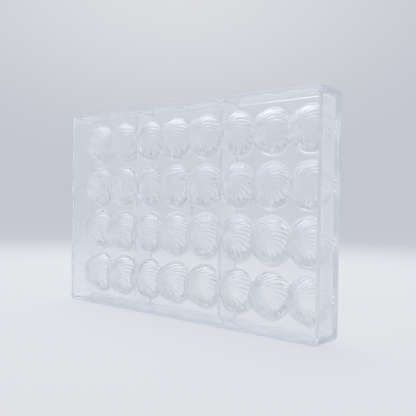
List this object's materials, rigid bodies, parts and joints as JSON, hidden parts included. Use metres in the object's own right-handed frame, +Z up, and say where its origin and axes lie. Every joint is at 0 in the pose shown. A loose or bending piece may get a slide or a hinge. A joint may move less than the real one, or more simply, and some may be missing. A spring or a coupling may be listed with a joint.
{
  "type": "chocolate mould",
  "caption": "Clear moulded tray of round swirled cavities with a skirt and cross webs, standing on its long edge.",
  "frame": {"origin": "middle of the long edge that the mould stands on, half way through its depth", "axes": "+X along the mould, +Y out of the cavity mouths, +Z up, from the edge it stands on to the other long edge"},
  "size_m": [0.275, 0.025, 0.175],
  "materials": {
    "clear_plastic": "clear, glossy moulded plastic with a faint blue-green tint at its edges"
  },
  "bodies": {
    "root": {"mould_body": "clear_plastic"}
  },
  "joints": []
}
